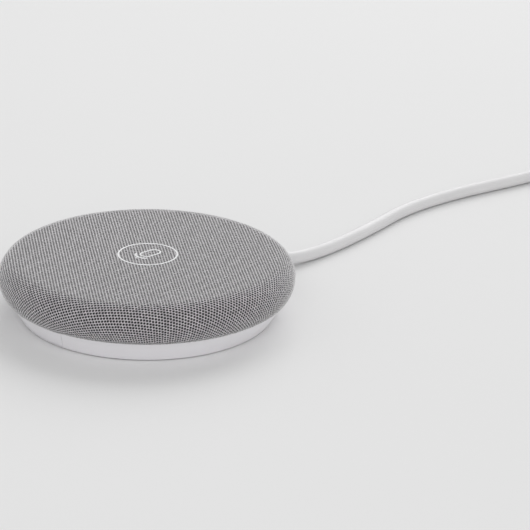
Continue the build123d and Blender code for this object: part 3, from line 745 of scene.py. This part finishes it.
def hole_places():
    """Middles of the holes in the flat knit, row by row."""
    columns = int(KNIT_REACH / KNIT_ACROSS) + 1
    rows = int(KNIT_REACH / KNIT_ALONG) + 1
    places = []
    for row in range(-rows, rows + 1):
        for column in range(-columns, columns + 1):
            places.append((column * KNIT_ACROSS, row * KNIT_ALONG))
            places.append(((column + 0.5) * KNIT_ACROSS, (row + 0.5) * KNIT_ALONG))
    room = KNIT_REACH - KNIT_ACROSS / 2
    return [place for place in places if math.hypot(*place) < room]


def make_knit():
    """Every hole is a ring of six faces from the crest of the yarns down to its rim."""
    rng = np.random.default_rng(KNIT_SEED)
    corner_x = (KNIT_ACROSS / 4) + KNIT_ALONG**2 / (4 * KNIT_ACROSS)
    side_x = KNIT_ACROSS / 2 - corner_x
    corners = [
        (corner_x, 0.0),
        (side_x, KNIT_ALONG / 2),
        (-side_x, KNIT_ALONG / 2),
        (-corner_x, 0.0),
        (-side_x, -KNIT_ALONG / 2),
        (side_x, -KNIT_ALONG / 2),
    ]
    rim_angles = [0, HOLE_ANGLE, math.pi - HOLE_ANGLE, math.pi, math.pi + HOLE_ANGLE, -HOLE_ANGLE]
    rims = [(HOLE_RADIUS * math.cos(a), HOLE_RADIUS * math.sin(a)) for a in rim_angles]
    points, sinks, tones, faces, known = [], [], [], [], {}

    def add(x, y, inset, sink, tone):
        turned = Vector((x, y)) @ Matrix.Rotation(-KNIT_TURN, 2)
        points.append(drawn_over(turned.x, turned.y, inset))
        sinks.append(sink)
        tones.append(tone)
        return len(points) - 1

    for x, y in hole_places():
        tone = rng.random()
        outer, inner = [], []
        for dx, dy in corners:
            key = (round((x + dx) * KEYS_PER_MM), round((y + dy) * KEYS_PER_MM))
            if key not in known:
                shift = rng.normal(0, KNIT_JITTER, 3)
                known[key] = add(x + dx + shift[0], y + dy + shift[1], abs(shift[2]), 0.0, rng.random())
            outer.append(known[key])
        shift = rng.normal(0, KNIT_JITTER, 3)
        for dx, dy in rims:
            inner.append(add(x + dx + shift[0], y + dy + shift[1], HOLE_DEPTH + shift[2], 1.0, tone))
        for n in range(len(corners)):
            m = (n + 1) % len(corners)
            faces.append((outer[n], outer[m], inner[m], inner[n]))
    knit = mesh_piece("knit_cover", points, faces)
    # sink, from crest to rim, sets the painted shade in the holes; tone is the yarn's random heather.
    for name, values in (("sink", sinks), ("tone", tones)):
        layer = knit.data.attributes.new(name, "FLOAT", "POINT")
        layer.data.foreach_set("value", np.array(values, np.float32))
    return knit


knit = dress(make_knit(), "knit_mesh")
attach(knit, "pod")
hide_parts("fabric_cover")

# Liner under the open knit, which keeps the dome's holes from showing through
LINER_INSET = 0.6
LINER_RINGS = 40
LINER_STEPS = 144


def make_liner():
    """A thin dark cloth over the dome, down to the rim."""
    reach = CROWN_LENGTH + SHOULDER_LENGTH + TUCK_LENGTH
    points = [(0.0, 0.0, BODY_HEIGHT - LINER_INSET)]
    faces = []
    for ring in range(LINER_RINGS):
        radius, height, out = profile(reach * (ring + 1) / LINER_RINGS)
        radius -= LINER_INSET * out[0]
        height -= LINER_INSET * out[1]
        start = len(points)
        for n in range(LINER_STEPS):
            turn = 2 * math.pi * n / LINER_STEPS
            points.append((radius * math.cos(turn), radius * math.sin(turn), height))
            m = (n + 1) % LINER_STEPS
            if ring == 0:
                faces.append((0, start + n, start + m))
            else:
                faces.append((start - LINER_STEPS + n, start + n, start + m, start - LINER_STEPS + m))
    return mesh_piece("knit_liner", points, faces)


liner = dress(make_liner(), "knit_liner")
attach(liner, "pod")

# Printed mark: a ring round a plain microphone sign. Its lines are a little crowned and sink into the knit
# at their edges.
LINE_HALF = 0.33
LINE_RISE = 0.05
LINE_SINK = 0.04
LINE_SHOULDER = (0.7, 0.8)
LINE_SECTION = [
    (-LINE_HALF, -LINE_SINK),
    (-LINE_HALF * LINE_SHOULDER[0], LINE_RISE * LINE_SHOULDER[1]),
    (0, LINE_RISE),
    (LINE_HALF * LINE_SHOULDER[0], LINE_RISE * LINE_SHOULDER[1]),
    (LINE_HALF, -LINE_SINK),
]
RING_RADIUS = 10.1
RING_MIDDLE = (0.09, 0.11)
RING_STEPS = 180
ARC_STEPS = 24
CAPSULE_RADIUS = 2.1
CAPSULE_LOW = -0.4
CAPSULE_HIGH = 3.1
HOLDER_RADIUS = 3.3
HOLDER_MIDDLE = -0.9
HOLDER_ENDS = (210, 330)
STEM_END = -5.4


def print_line(name, strokes):
    """A thin raised line of ink on the knit, from strokes of points, each open or closed."""
    width = len(LINE_SECTION)
    points, faces = [], []
    for stroke, closed in strokes:
        start = len(points)
        count = len(stroke)
        for n, (x, y) in enumerate(stroke):
            before = stroke[n - 1] if closed or n > 0 else stroke[n]
            after = stroke[(n + 1) % count] if closed or n < count - 1 else stroke[n]
            way = Vector((after[0] - before[0], after[1] - before[1])).normalized()
            for across, rise in LINE_SECTION:
                points.append(drawn_over(x - way.y * across, y + way.x * across, -rise))
        for n in range(count if closed else count - 1):
            here = start + n * width
            there = start + (n + 1) % count * width
            for k in range(width - 1):
                faces.append((here + k, there + k, there + k + 1, here + k + 1))
    piece = dress(mesh_piece(name, points, faces), "print_ink")
    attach(piece, "pod")


def arc(middle, radius, start, end, count):
    """Points on an arc, angles in degrees."""
    turns = [math.radians(start + (end - start) * n / count) for n in range(count + 1)]
    return [(middle[X] + radius * math.cos(turn), middle[Y] + radius * math.sin(turn)) for turn in turns]


ring = arc(RING_MIDDLE, RING_RADIUS, 0, 360, RING_STEPS)[:-1]
capsule = arc((0, CAPSULE_HIGH), CAPSULE_RADIUS, 0, 180, ARC_STEPS)
capsule += arc((0, CAPSULE_LOW), CAPSULE_RADIUS, 180, 360, ARC_STEPS)
holder = arc((0, HOLDER_MIDDLE), HOLDER_RADIUS, *HOLDER_ENDS, ARC_STEPS)
stem = [(0, HOLDER_MIDDLE - HOLDER_RADIUS), (0, STEM_END)]
print_line("print_ring", [(ring, True)])
print_line("print_microphone", [(capsule, True), (holder, False), (stem, False)])

# Floor
FLOOR_HALF = 12000.0
FLOOR_CLOUDS = 3.0
FLOOR_DARK = (0.82, 0.82, 0.82)
FLOOR_PALE = (0.85, 0.85, 0.85)

# Light, in metres, watts and degrees. A lamp's turn is counted from +X towards +Y.
SKY_STRENGTH = 0.545
LAMP_DISTANCE = 1.8
LAMP_SIZE = 1.5
LAMP_SPREAD = math.radians(100.0)
BACK_LAMP = {"turn": 118.0, "rise": 37.0, "power": 5.9}
FRONT_LAMP = {"turn": -40.0, "rise": 33.0, "power": 3.3}


def make_floor():
    """A wide pale floor."""
    corners = [(x * FLOOR_HALF, y * FLOOR_HALF, 0) for x, y in ((-1, -1), (1, -1), (1, 1), (-1, 1))]
    floor = mesh_piece("floor", corners, [(0, 1, 2, 3)])
    made, tree, shader, place = new_material("floor")
    clouded = blend_colours(tree, noise(tree, place, FLOOR_CLOUDS), FLOOR_DARK, FLOOR_PALE)
    tree.links.new(clouded, shader.inputs["Base Color"])
    shader.inputs["Roughness"].default_value = 0.9
    shader.inputs["Specular IOR Level"].default_value = 0.1
    floor.data.materials.append(made)


def area_light(name, turn, rise, power):
    """A large soft lamp turned to the pod, left out of the picture itself."""
    data = bpy.data.lights.new(name, "AREA")
    data.shape = "SQUARE"
    data.size = LAMP_SIZE
    data.energy = power
    data.spread = LAMP_SPREAD
    lamp = link(name, data)
    turn, rise = math.radians(turn), math.radians(rise)
    way = Vector((math.cos(rise) * math.cos(turn), math.cos(rise) * math.sin(turn), math.sin(rise)))
    lamp.location = way * LAMP_DISTANCE
    lamp.rotation_mode = "QUATERNION"
    lamp.rotation_quaternion = (-way).to_track_quat("-Z", "Y")
    lamp.visible_camera = False


def make_light():
    """An even sky, a lamp behind the pod and a weaker one on the camera's side."""
    world = bpy.data.worlds.new("studio")
    world.use_nodes = True
    background = world.node_tree.nodes["Background"]
    background.inputs["Color"].default_value = (1, 1, 1, 1)
    background.inputs["Strength"].default_value = SKY_STRENGTH
    bpy.context.scene.world = world
    area_light("back_lamp", **BACK_LAMP)
    area_light("front_lamp", **FRONT_LAMP)


make_floor()
make_light()
bpy.context.scene.view_settings.view_transform = "Standard"
